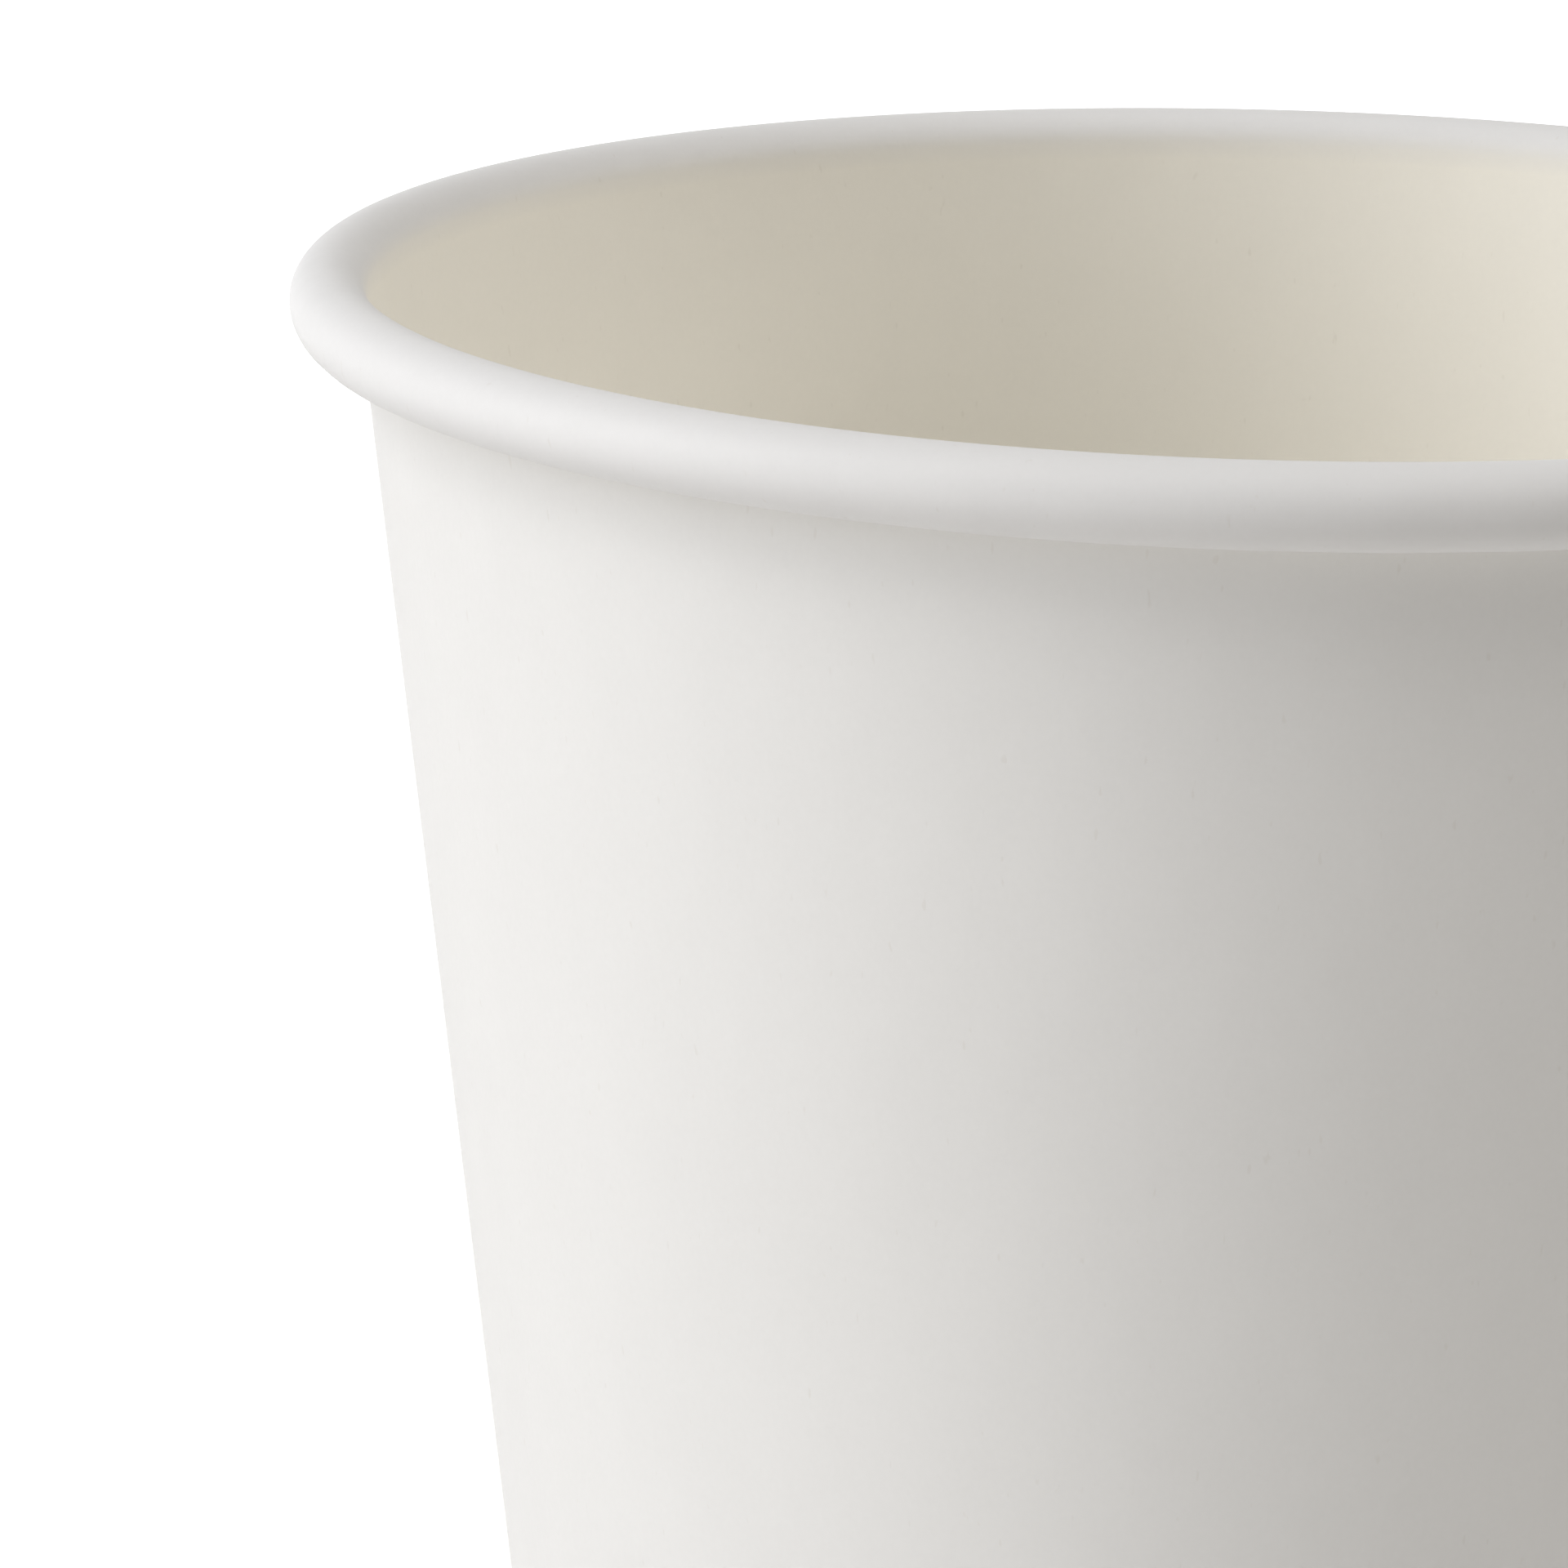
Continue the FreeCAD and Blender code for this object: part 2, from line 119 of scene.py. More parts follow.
class CupSeam(bpy.types.PropertyGroup):
    azimuth: angle("Azimuth", "Where the seam stands, turned about the cup's axis", -35)
    lap: length("Lap", "Width over which the blank's two ends overlap", 6.5 * MM)
    step: length("Step", "How far the upper layer stands off at its raw edge", 0.3 * MM)
    ramp: length("Ramp", "Width over which the board comes back to one layer", 2 * MM)
    edge: length("Edge", "Width of the crisp corner at a raw edge", 0.03 * MM)
    waver: length("Waver", "How far a raw edge strays from a straight line", 0.05 * MM)
    bead_swell: length("Bead swell", "How far the rolled rim stands out over the double layer", 0.12 * MM)
    bead_notch: length("Bead notch", "How far the rolled rim drops where that layer ends", 0.09 * MM)


class CupSurface(bpy.types.PropertyGroup):
    cockle: length("Cockle", "Depth of the board's faint upright waves", 0.05 * MM)
    cockle_width: length("Cockle width", "Width of those waves", 13 * MM)
    bead_waver: length("Bead waver", "How uneven the rolled rim is", 0.02 * MM)
    foot_swell: length("Foot swell", "How far the wall stands out over the bottom's skirt", 0.05 * MM)
    knurls: number("Knurls", "Number of pressed ribs round the hem", 108)
    knurl_depth: length("Knurl depth", "Depth of those ribs", 0.13 * MM)
    crown: length("Crown", "How far the middle of the bottom stands up", 0.3 * MM)
    puckers: number("Puckers", "Number of small folds round the bottom", 72)
    pucker_depth: length("Pucker depth", "Depth of those folds", 0.05 * MM)


class BoardFinish(bpy.types.PropertyGroup):
    outside: colour("Outside", "Uncoated white board", (0.822, 0.824, 0.827))
    # The rim's white is darker and a little cooler than the outside's. This is partly the rolled rim's own
    # cooler look and partly painted shade that tones down the light falling on the bead's top.
    rim: colour("Rim", "White of the rolled rim", (0.780, 0.783, 0.795))
    # The inside's cream is brighter than the outside board. It is partly the coating's own tone and partly
    # painted warm bounce light from within the cup.
    inside: colour("Inside", "Coated cream board", (0.960, 0.937, 0.872))
    raw: colour("Raw edge", "Cut edge of the board", (0.80, 0.785, 0.75))
    # The fade from the rim's white to the cream inside is partly painted bounce light.
    cream_and_bounce_fade: length("Cream fade", "Depth over which the rim's white turns to cream inside", 1.6 * MM)
    grain: length("Grain", "Size of the board's fine grain", 0.28 * MM)
    mottle: length("Mottle", "Size of the board's cloudy patches", 5 * MM)
    relief: length("Relief", "Height of the grain", 0.012 * MM)
    fibre: length("Fibre", "Width of the few dark fibres in the board", 0.35 * MM)
    fibre_tint: colour("Fibre tint", "Colour of those fibres", (0.55, 0.5, 0.43))
    layer: length("Layer", "Thickness of the layers that show in a cut edge", 0.08 * MM)
    raw_relief: length("Raw relief", "Height of those layers' roughness", 0.03 * MM)


class CupStage(bpy.types.PropertyGroup):
    distance: length("Distance", "From the camera to the middle of the rim", 263.6 * MM)
    elevation: angle("Elevation", "How far the camera stands above the rim", 10.943)
    yaw: angle("Yaw", "How far the camera looks to the side of the cup's axis", -4.841)
    pitch: angle("Pitch", "How far the camera looks up or down", -16.002)
    roll: angle("Roll", "How far the camera is turned about its own axis", 0.657)
    lens: FloatProperty(name="Lens", description="Focal length in millimetres", default=129.04)
    key_power: share("Key power", "Power of the large lamp on the left, in watts", 15.4)
    key_bearing: angle("Key bearing", "How far round to the left of the camera that lamp stands", 70.5)
    key_height: angle("Key height", "How far above level that lamp stands", 29)
    key_tall: length("Key tall", "How tall that lamp is", 1.4)
    key_tint: colour("Key tint", "Colour of that lamp", (1.0, 1.0, 1.0))
    fill_power: share("Fill power", "Power of the second lamp, on the right, in watts", 8.2)
    fill_bearing: angle("Fill bearing", "How far round to the right of the camera it stands", 98)
    fill_height: angle("Fill height", "How far above level the second lamp stands", 34)
    fill_tint: colour("Fill tint", "Colour of the second lamp", (1.0, 0.965, 0.91))
    high_power: share("High power", "Power of the third lamp, high on the left, in watts", 5.0)
    high_bearing: angle("High bearing", "How far round to the left of the camera it stands", 35)
    high_height: angle("High height", "How far above level the third lamp stands", 60)
    high_tint: colour("High tint", "Colour of the third lamp", (1.0, 0.97, 0.92))
    lamp_distance: length("Lamp distance", "From each lamp to the cup", 1.4)
    lamp_size: length("Lamp size", "Width of each lamp, and height of the smaller two", 0.9)
    ambient: share("Ambient", "Strength of the light from all round", 0.08)
    ambient_tint: colour("Ambient tint", "Colour of the light from all round", (1.0, 0.92, 0.81))
    floor_reach: length("Floor reach", "Half the width of the floor", 4.0)
    floor_tint: colour("Floor tint", "Colour of the floor", (0.9, 0.887, 0.868))
    floor_white: share("Floor white", "How much of the floor beside the cup is seen as plain white", 0.5)
    floor_glow: share("Floor glow", "Strength of that plain white", 1.45)
    shadow_near: length("Shadow near", "How far from the cup the floor starts to turn all white", 0.16)
    shadow_far: length("Shadow far", "How far from the cup the floor is all white", 0.55)


def smooth(low, high, value):
    """Rises smoothly from 0 at low to 1 at high."""
    t = min(max((value - low) / (high - low), 0.0), 1.0)
    return t * t * (3 - 2 * t)


def ray(bearing):
    """The direction at an angle above level, in the half plane of the cup's axis."""
    return Vector((math.cos(bearing), math.sin(bearing)))


def round_place(bearing, reach, level):
    """A place on a ring, for a noise that meets itself round the cup."""
    return Vector((math.cos(bearing) * reach, math.sin(bearing) * reach, level))


class Section:
    """A board's outline in the half plane of the axis, as points (radius, height).

    Each point names the face that starts there, and the board lies to the left of the way round.
    """

    def __init__(self):
        self.points = []
        self.faces = []

    def line(self, first, last, steps, face):
        """Adds a straight stretch, without its last point."""
        for step in range(steps):
            self.points.append(first.lerp(last, step / steps))
            self.faces.append(face)

    def arc(self, centre, radius, first, last, steps, face):
        """Adds a round stretch between two angles, without its last point."""
        for step in range(steps):
            self.points.append(centre + radius * ray(first + (last - first) * step / steps))
            self.faces.append(face)

    def normals(self, closed):
        """The way off the board at each point. A corner beside a raw edge keeps its own face's."""
        count = len(self.points)
        ways = []
        for i in range(count):
            run = self.points[(i + 1) % count] - self.points[i]
            ways.append(Vector((run.y, -run.x)).normalized())
        found = []
        for i in range(count):
            before, after = self.faces[i - 1], self.faces[i]
            starts_open = not closed and i == 0
            if starts_open or (before == RAW and after != RAW):
                found.append(ways[i])
            elif after == RAW and before != RAW:
                found.append(ways[i - 1])
            else:
                found.append((ways[i - 1] + ways[i]).normalized())
        return found


class WallPlan:
    """The places that the side wall's section is drawn through, worked out from the sizes."""

    def __init__(self, sizes):
        self.bead = sizes.bead_radius
        self.board = sizes.wall_board
        self.curl = Vector((sizes.rim_radius - self.bead, sizes.height - self.bead))
        spread, rise = self.curl.x - sizes.base_radius, self.curl.y
        lean = math.atan2(rise, spread)
        self.taper = math.acos((self.bead - self.board) / math.hypot(spread, rise)) - lean
        self.along = Vector((math.sin(self.taper), math.cos(self.taper)))
        self.across = Vector((math.cos(self.taper), -math.sin(self.taper)))
        self.base = Vector((sizes.base_radius, 0.0))
        self.hem_height = sizes.hem_height

        step = (self.board + sizes.tuck_gap) / (1 + math.cos(sizes.roll_angle - self.taper))
        self.roll = -sizes.roll_angle
        self.raw_edge = self.roll - sizes.tuck_angle
        self.tuck = self.bead - step
        self.tuck_centre = self.curl + ray(self.roll) * step

        self.crease = sizes.crease_radius
        self.crease_out = self.crease + self.board
        self.skirt_inset = self.board + sizes.seal_gap
        pocket = sizes.bottom_board + 2 * sizes.seal_gap
        self.wall_crease = self.inset(self.crease_out, self.crease_out)
        self.hem_crease = self.inset(pocket + 2 * self.board - self.crease, self.crease_out)

    def inset(self, depth, height):
        """The point at a height that lies this deep inside the wall's outer face."""
        run = (height - depth * self.along.x) / self.along.y
        return self.base - self.across * depth + self.along * run

    def section(self, disc_top):
        """The outline of the side wall's board, from the hem's raw edge round and back to it."""
        inward, up, down = math.pi - self.taper, math.pi / 2, -math.pi / 2
        round_down = 2 * math.pi + down
        board, crease, out = self.board, self.crease, self.crease_out
        fold_in, fold_out = Vector((0.0, crease)), Vector((0.0, out))
        hem_foot = self.hem_crease - self.across * out
        hem_top = hem_foot + self.along * ((self.hem_height - hem_foot.y) / self.along.y)
        hem_edge = hem_top + self.across * board
        foot_rise = self.inset(0.0, disc_top)
        outer_foot = self.wall_crease + self.across * out
        outer_top = self.curl - self.across * (self.bead - board)
        inner_top = self.curl - self.across * self.bead
        inner_low = self.inset(board, disc_top)
        # Above this the steps are finer, because the rim's white turns to cream there.
        fine_low = inner_top - self.along * (5 * self.bead)
        inner_foot = self.wall_crease + self.across * crease
        tuck_ray = ray(self.raw_edge)
        tuck_near = self.tuck_centre + tuck_ray * (self.tuck - board)
        tuck_far = self.tuck_centre + tuck_ray * self.tuck

        # The whole number in each line is how many steps that stretch has.
        outline = Section()
        outline.line(hem_top, hem_foot, 12, OUTSIDE)
        outline.arc(self.hem_crease, out, inward, round_down, 5, OUTSIDE)
        outline.line(self.hem_crease - fold_out, self.wall_crease - fold_out, 1, OUTSIDE)
        outline.arc(self.wall_crease, out, down, -self.taper, 5, OUTSIDE)
        outline.line(outer_foot, foot_rise, 14, OUTSIDE)
        outline.line(foot_rise, outer_top, 18, OUTSIDE)
        outline.arc(self.curl, self.bead - board, inward, self.roll, 9, OUTSIDE)
        outline.arc(self.tuck_centre, self.tuck - board, self.roll, self.raw_edge, 5, OUTSIDE)
        outline.line(tuck_near, tuck_far, 1, RAW)
        outline.arc(self.tuck_centre, self.tuck, self.raw_edge, self.roll, 8, INSIDE)
        outline.arc(self.curl, self.bead, self.roll, up, 17, INSIDE)
        outline.arc(self.curl, self.bead, up, inward, 9, INSIDE)
        outline.line(inner_top, fine_low, 11, INSIDE)
        outline.line(fine_low, inner_low, 12, INSIDE)
        outline.line(inner_low, inner_foot, 4, INSIDE)
        outline.arc(self.wall_crease, crease, -self.taper, down, 2, INSIDE)
        outline.line(self.wall_crease - fold_in, self.hem_crease - fold_in, 1, INSIDE)
        outline.arc(self.hem_crease, crease, round_down, inward, 2, INSIDE)
        outline.line(self.hem_crease - self.across * crease, hem_edge, 3, INSIDE)
        outline.line(hem_edge, hem_top, 1, RAW)
        return outline


class SeamColumns:
    """Where the upright rows of points stand: even round the cup, and parallel to the seam near it."""

    MARGIN = 2 * MM
    STRAY_LENGTH = 2.5 * MM
    STRAY_FADES = 0.8

    def __init__(self, seam, pitch, count):
        self.azimuth = seam.azimuth
        self.waver = seam.waver
        half = seam.lap / 2
        self.edge = seam.edge
        self.outer_edge, self.under_edge = -half, half
        self.reach = half + seam.ramp + self.MARGIN
        marks = [-self.reach, -half - self.edge, -half + self.edge]
        marks += [half - self.edge, half + self.edge, half + seam.ramp, self.reach]
        self.sides = []
        for first, last in zip(marks, marks[1:]):
            steps = max(1, round((last - first) / pitch))
            self.sides += [first + (last - first) * step / steps for step in range(steps)]
        self.sides.append(self.reach)
        self.count = count
        self.total = len(self.sides) + count - 1

    def stray(self, height):
        """How far the seam's edges stray sideways at a height."""
        return self.waver * noise.noise(Vector((0.0, 7.0, height / self.STRAY_LENGTH)))

    def ring(self, radius, height):
        """The bearing of each row at a radius, and how far sideways of the seam it stands."""
        found = []
        stray = self.stray(height)
        for side in self.sides:
            held = 1 - smooth(self.STRAY_FADES, 1.0, abs(side) / self.reach)
            found.append((self.azimuth + math.asin((side + stray * held) / radius), side))
        first = math.asin(self.reach / radius)
        turn = 2 * math.pi - 2 * first
        for step in range(1, self.count):
            found.append((self.azimuth + first + turn * step / self.count, None))
        return found

    def is_edge(self, column, mark):
        """Whether the strip after this row of points is the crisp corner at a mark."""
        return column + 1 < len(self.sides) and abs(self.sides[column] - (mark - self.edge)) < SAME_PLACE


class EvenColumns:
    """Rows of points evenly round the cup."""

    def __init__(self, count):
        self.total = count

    def ring(self, radius, height):
        """The bearing of each row. No row stands beside a seam."""
        return [(2 * math.pi * step / self.total, None) for step in range(self.total)]


def sweep(name, outline, columns, offset, face_of, cream_and_bounce_of, closed=True):
    """Sweeps a section round the cup's axis.

    offset gives how far a point stands off the board, and how far it is lifted; face_of gives each
    patch's material slot; the last function gives how cream the coated face is at a point: partly the
    coating's own tone, partly painted warm bounce light.
    """
    normals = outline.normals(closed)
    places, rings, cream_and_bounce_shares = [], [], []
    for point, normal, face in zip(outline.points, normals, outline.faces):
        if point.x < ON_AXIS:
            rings.append([len(places)] * columns.total)
            places.append((0.0, 0.0, point.y + offset(point, normal, face, 0.0, None)[1]))
            cream_and_bounce_shares.append(cream_and_bounce_of(point))
            continue
        ring = []
        for bearing, side in columns.ring(point.x, point.y):
            off, lift = offset(point, normal, face, bearing, side)
            radius = point.x + normal.x * off
            height = max(point.y + normal.y * off + lift, 0.0)
            ring.append(len(places))
            places.append((radius * math.cos(bearing), radius * math.sin(bearing), height))
            cream_and_bounce_shares.append(cream_and_bounce_of(point))
        rings.append(ring)
    patches, slots = [], []
    count = len(rings)
    for i in range(count if closed else count - 1):
        low, high = rings[i], rings[(i + 1) % count]
        for k in range(columns.total):
            j = (k + 1) % columns.total
            patch = dict.fromkeys((low[k], low[j], high[j], high[k]))
            patches.append(tuple(patch))
            slots.append(face_of(i, k))
    mesh = bpy.data.meshes.new(name)
    mesh.from_pydata(places, [], patches)
    mesh.polygons.foreach_set("material_index", slots)
    mesh.polygons.foreach_set("use_smooth", [True] * len(patches))
    # Stores how cream each point is: the coating's tone and painted warm bounce light together.
    mesh.attributes.new("cream", "FLOAT", "POINT").data.foreach_set("value", cream_and_bounce_shares)
    mesh.set_sharp_from_angle(angle=SHARP_ANGLE)
    mesh.validate()
    piece = bpy.data.objects.new(name, mesh)
    bpy.context.scene.collection.objects.link(piece)
    return piece


def upper_layer(seam, side):
    """How much of the seam's step the outer face stands off at a place beside the seam."""
    half = seam.lap / 2
    if side is None or side < -half:
        return 0.0
    return 1 - smooth(half, half + seam.ramp, side)


def under_gap(seam, side):
    """How much of the seam's step the inner face stands back at a place beside the seam."""
    half = seam.lap / 2
    if side is None or side < half:
        return 0.0
    return 1 - smooth(half, half + seam.ramp, side)


def bead_offset(seam, side):
    """How far the rolled rim stands out, or back, at a place beside the seam."""
    swell_before, swell_after = 1.2 * MM, 0.8 * MM
    half = seam.lap / 2
    if side is None:
        return 0.0
    if side < half:
        return seam.bead_swell * smooth(-half - swell_before, -half + swell_after, side)
    return -seam.bead_notch * (1 - smooth(half, half + seam.ramp, side))


def cockle_of(plan, surface, disc_top):
    """The function that gives the height of the board's faint upright waves at a place."""
    waves_top = plan.curl.y - plan.bead - 2 * MM
    top_fade = 9 * MM
    stretch, slow_scale, quick_scale, quick_share = 0.3, 0.45, 1.3, 0.45
    slow_shift = Vector((4.0, 0.0, 0.0))

    def cockle(bearing, height):
        held = smooth(disc_top, 2 * disc_top, height)
        held *= 1 - smooth(waves_top - top_fade, waves_top, height)
        reach = plan.base.x / surface.cockle_width
        where = round_place(bearing, reach, stretch * height / surface.cockle_width)
        slow = noise.noise(where * slow_scale + slow_shift)
        return surface.cockle * held * (slow + quick_share * noise.noise(where * quick_scale))

    return cockle


def knurl_of(surface):
    """The function that gives how deep a rib of the hem is at a place, from 0 to 1."""
    low, high, fade = 1.2 * MM, 6.2 * MM, 0.5 * MM

    def knurl(bearing, height):
        held = smooth(low, low + fade, height)
        held *= 1 - smooth(high - fade, high, height)
        return held * 0.5 * (1 + math.cos(surface.knurls * bearing))

    return knurl


def wall_offset(plan, seam, surface, disc_top):
    """The function that moves a point of the side wall off its plain round shape."""
    roll_low = plan.curl.y - plan.bead
    upright = 0.9
    hem_share, pressed_flat, ribs_through = 0.8, 0.8, 0.12
    hem_low, hem_full = 0.5 * MM, 1.5 * MM
    wall_low, wall_full = 0.5 * MM, 1.6 * MM
    pressed_low, bead_low = roll_low - 1.5 * MM, roll_low - 2 * MM
    swell_low, swell_full = 1 * MM, 2 * MM
    swell_top, swell_end = disc_top - 0.9 * MM, disc_top + 0.3 * MM
    waver_reach, waver_level = 12.0, 36.0
    cockle = cockle_of(plan, surface, disc_top)
    knurl = knurl_of(surface)

    def hem(point, bearing, side):
        lap = upper_layer(seam, side) * smooth(hem_low, hem_full, point.y)
        return hem_share * seam.step * lap - surface.knurl_depth * knurl(bearing, point.y)

    def outer_face(point, bearing, side):
        held = smooth(wall_low, wall_full, point.y)
        held *= 1 - pressed_flat * smooth(pressed_low, roll_low, point.y)
        lap = seam.step * upper_layer(seam, side) * held
        swell = surface.foot_swell * smooth(swell_low, swell_full, point.y)
        swell *= 1 - smooth(swell_top, swell_end, point.y)
        ribs = ribs_through * surface.knurl_depth * knurl(bearing, point.y)
        return lap + swell + cockle(bearing, point.y) - ribs

    def inner_face(point, normal, bearing, side):
        waver = surface.bead_waver * noise.noise(round_place(bearing, waver_reach, waver_level))
        level = 1 - max(normal.y, 0.0) ** 2
        inside = point.x < plan.curl.x
        on_bead = smooth(bead_low, plan.curl.y, point.y) if inside else 1.0
        bead = (bead_offset(seam, side) + waver - surface.bead_waver) * level
        wall = -seam.step * under_gap(seam, side) - cockle(bearing, point.y)
        return bead * on_bead + wall * (1 - on_bead)

    def offset(point, normal, face, bearing, side):
        out = normal.dot(plan.across)
        if out < -upright and point.y <= plan.hem_height and face != INSIDE:
            return hem(point, bearing, side), 0.0
        if face == OUTSIDE and point.y < plan.curl.y and out > upright:
            return outer_face(point, bearing, side), 0.0
        if face == OUTSIDE or point.y <= disc_top:
            return 0.0, 0.0
        return inner_face(point, normal, bearing, side), 0.0

    return offset


def disc_section(sizes, plan):
    """The outline of the bottom's board, from the middle of its underside round to its top."""
    board, bend = sizes.bottom_board, sizes.disc_bend
    out = bend + board
    underside = sizes.disc_top - board
    level = math.pi / 2
    centre = plan.inset(plan.skirt_inset + out, underside - bend)
    foot = plan.inset(plan.skirt_inset, sizes.skirt_foot)
    foot_in = foot - plan.across * board
    skirt_in = centre + plan.across * bend
    skirt_out = centre + plan.across * out
    flat = Vector((centre.x, 0.0))
    lift = Vector((0.0, underside))
    top = Vector((0.0, sizes.disc_top))

    # The whole number in each line is how many steps that stretch has.
    outline = Section()
    outline.line(lift, flat + lift, 30, INSIDE)
    outline.arc(centre, bend, level, -plan.taper, 6, INSIDE)
    outline.line(skirt_in, foot_in, 10, INSIDE)
    outline.line(foot_in, foot, 1, RAW)
    outline.line(foot, skirt_out, 6, INSIDE)
    outline.arc(centre, out, -plan.taper, level, 8, INSIDE)
    outline.line(flat + top, top, 30, INSIDE)
    outline.points.append(top)
    outline.faces.append(INSIDE)
    return outline, centre.x


def disc_offset(surface, bend_start):
    """The function that crowns the bottom and puckers its edge."""
    folds_start, folds_full = bend_start - 2.2 * MM, bend_start - 0.2 * MM
    fold_reach, fold_level = 6.0, 9.0
    middle_depth, depth_spread = 0.6, 0.8
    # The folds are shallower where the face is steeper.
    steep_low, steep_high, steep_least = -1.0, 0.4, 0.2

    def offset(point, normal, face, bearing, side):
        reach = min(point.x / bend_start, 1.0)
        crown = surface.crown * (1 - reach**2)
        held = smooth(folds_start, folds_full, point.x)
        level = abs(normal.y)
        if point.x <= bend_start:
            held *= smooth(steep_low, steep_high, level)
        else:
            held *= max(level - steep_least, 0.0)
        uneven = middle_depth + depth_spread * noise.noise(round_place(bearing, fold_reach, fold_level))
        folds = -surface.pucker_depth * held * uneven * 0.5 * (1 + math.cos(surface.puckers * bearing))
        return 0.0, crown + folds

    return offset


class Nodes:
    """A short way to write a material's node tree."""

    def __init__(self, name):
        self.material = bpy.data.materials.new(name)
        self.material.use_nodes = True
        self.tree = self.material.node_tree
        self.shader = self.tree.nodes["Principled BSDF"]
        self.output = self.tree.nodes["Material Output"]
        self.place = self.add("ShaderNodeTexCoord").outputs["Object"]

    def add(self, kind, **settings):
        """Adds a node with these settings."""
        node = self.tree.nodes.new(kind)
        for name, value in settings.items():
            setattr(node, name, value)
        return node

    def link(self, source, target):
        """Joins a node's output to another's input."""
        self.tree.links.new(source, target)

    def noise(self, size, detail, upright=1.0, shift=0.0):
        """A noise whose patches are this large, and this many times taller than wide."""
        mapping = self.add("ShaderNodeMapping")
        mapping.inputs["Scale"].default_value = (1 / size, 1 / size, 1 / (size * upright))
        mapping.inputs["Location"].default_value = (shift, shift, shift)
        self.link(self.place, mapping.inputs["Vector"])
        node = self.add("ShaderNodeTexNoise")
        node.inputs["Scale"].default_value = 1.0
        node.inputs["Detail"].default_value = detail
        self.link(mapping.outputs["Vector"], node.inputs["Vector"])
        return node.outputs["Fac"]

    def spread(self, source, low, high, to_low, to_high):
        """Maps a value's middle range on to another, held at both ends."""
        node = self.add("ShaderNodeMapRange")
        for name, value in (("From Min", low), ("From Max", high), ("To Min", to_low), ("To Max", to_high)):
            node.inputs[name].default_value = value
        self.link(source, node.inputs["Value"])
        return node.outputs["Result"]

    def blend(self, factor, first, second, mode="MIX"):
        """Mixes two colours, each a plain colour or a node's output."""
        node = self.add("ShaderNodeMix", data_type="RGBA", blend_type=mode)
        if isinstance(factor, float):
            node.inputs[0].default_value = factor
        else:
            self.link(factor, node.inputs[0])
        for socket, value in ((node.inputs[6], first), (node.inputs[7], second)):
            if isinstance(value, bpy.types.NodeSocket):
                self.link(value, socket)
            else:
                socket.default_value = (*value, 1.0)
        return node.outputs[2]

    def total(self, *terms):
        """Adds up values, each given with its share."""
        running = None
        for source, weight in terms:
            node = self.add("ShaderNodeMath", operation="MULTIPLY_ADD")
            self.link(source, node.inputs[0])
            node.inputs[1].default_value = weight
            node.inputs[2].default_value = 0.0
            if running is not None:
                self.link(running, node.inputs[2])
            running = node.outputs[0]
        return running

    def bump(self, source, height, strength):
        """Gives the shader a relief of this height."""
        node = self.add("ShaderNodeBump")
        node.inputs["Distance"].default_value = height
        node.inputs["Strength"].default_value = strength
        self.link(source, node.inputs["Height"])
        self.link(node.outputs["Normal"], self.shader.inputs["Normal"])


def scaled(tone, amount):
    """A colour made darker, to this share of itself."""
    return tuple(channel * amount for channel in tone)


def board_colour(nodes, finish, tone, depth):
    """The board's colour with its cloudy patches, its grain and a few dark fibres.

    depth is how much darker the patches and the grain are at most.
    """
    cloud_noise = nodes.noise(finish.mottle, detail=3.0, upright=2.0)
    grain_noise = nodes.noise(finish.grain, detail=2.0, upright=1.3, shift=5.0)
    fibre_noise = nodes.noise(finish.fibre, detail=1.0, upright=3.0, shift=11.0)
    clouds = nodes.spread(cloud_noise, 0.35, 0.65, 0.0, 1.0)
    grain = nodes.spread(grain_noise, 0.3, 0.7, 0.0, 1.0)
    fibres = nodes.spread(fibre_noise, 0.74, 0.8, 0.0, 0.12)
    cloudy = nodes.blend(clouds, scaled(WHITE, 1 - depth), WHITE)
    grainy = nodes.blend(grain, scaled(WHITE, 1 - depth), WHITE)
    mottled = nodes.blend(1.0, cloudy, grainy, "MULTIPLY")
    toned = nodes.blend(1.0, mottled, tone, "MULTIPLY")
    return nodes.blend(fibres, toned, tuple(finish.fibre_tint))


def board_relief(nodes, finish, strength):
    """The board's surface: fine grain, longer fibres and a slight orange-peel unevenness."""
    grain = nodes.noise(finish.grain, detail=4.0, shift=2.0)
    fibres = nodes.noise(2.2 * finish.grain, detail=3.0, upright=3.0, shift=8.0)
    swells = nodes.noise(9 * finish.grain, detail=1.0, upright=1.5, shift=3.0)
    height = nodes.total((grain, 1.0), (fibres, 1.2), (swells, 2.0))
    nodes.bump(height, finish.relief, strength)


def outside_board(finish):
    """Uncoated white cup board: dry and matte."""
    nodes = Nodes("white_board_outside")
    tone = board_colour(nodes, finish, finish.outside, depth=0.012)
    nodes.link(tone, nodes.shader.inputs["Base Color"])
    rough = nodes.spread(nodes.noise(2 * finish.grain, detail=3.0), 0.3, 0.7, 0.66, 0.8)
    nodes.link(rough, nodes.shader.inputs["Roughness"])
    nodes.shader.inputs["Specular IOR Level"].default_value = 0.3
    nodes.shader.inputs["Sheen Weight"].default_value = 0.04
    nodes.shader.inputs["Sheen Roughness"].default_value = 0.5
    board_relief(nodes, finish, strength=0.5)
    return nodes.material


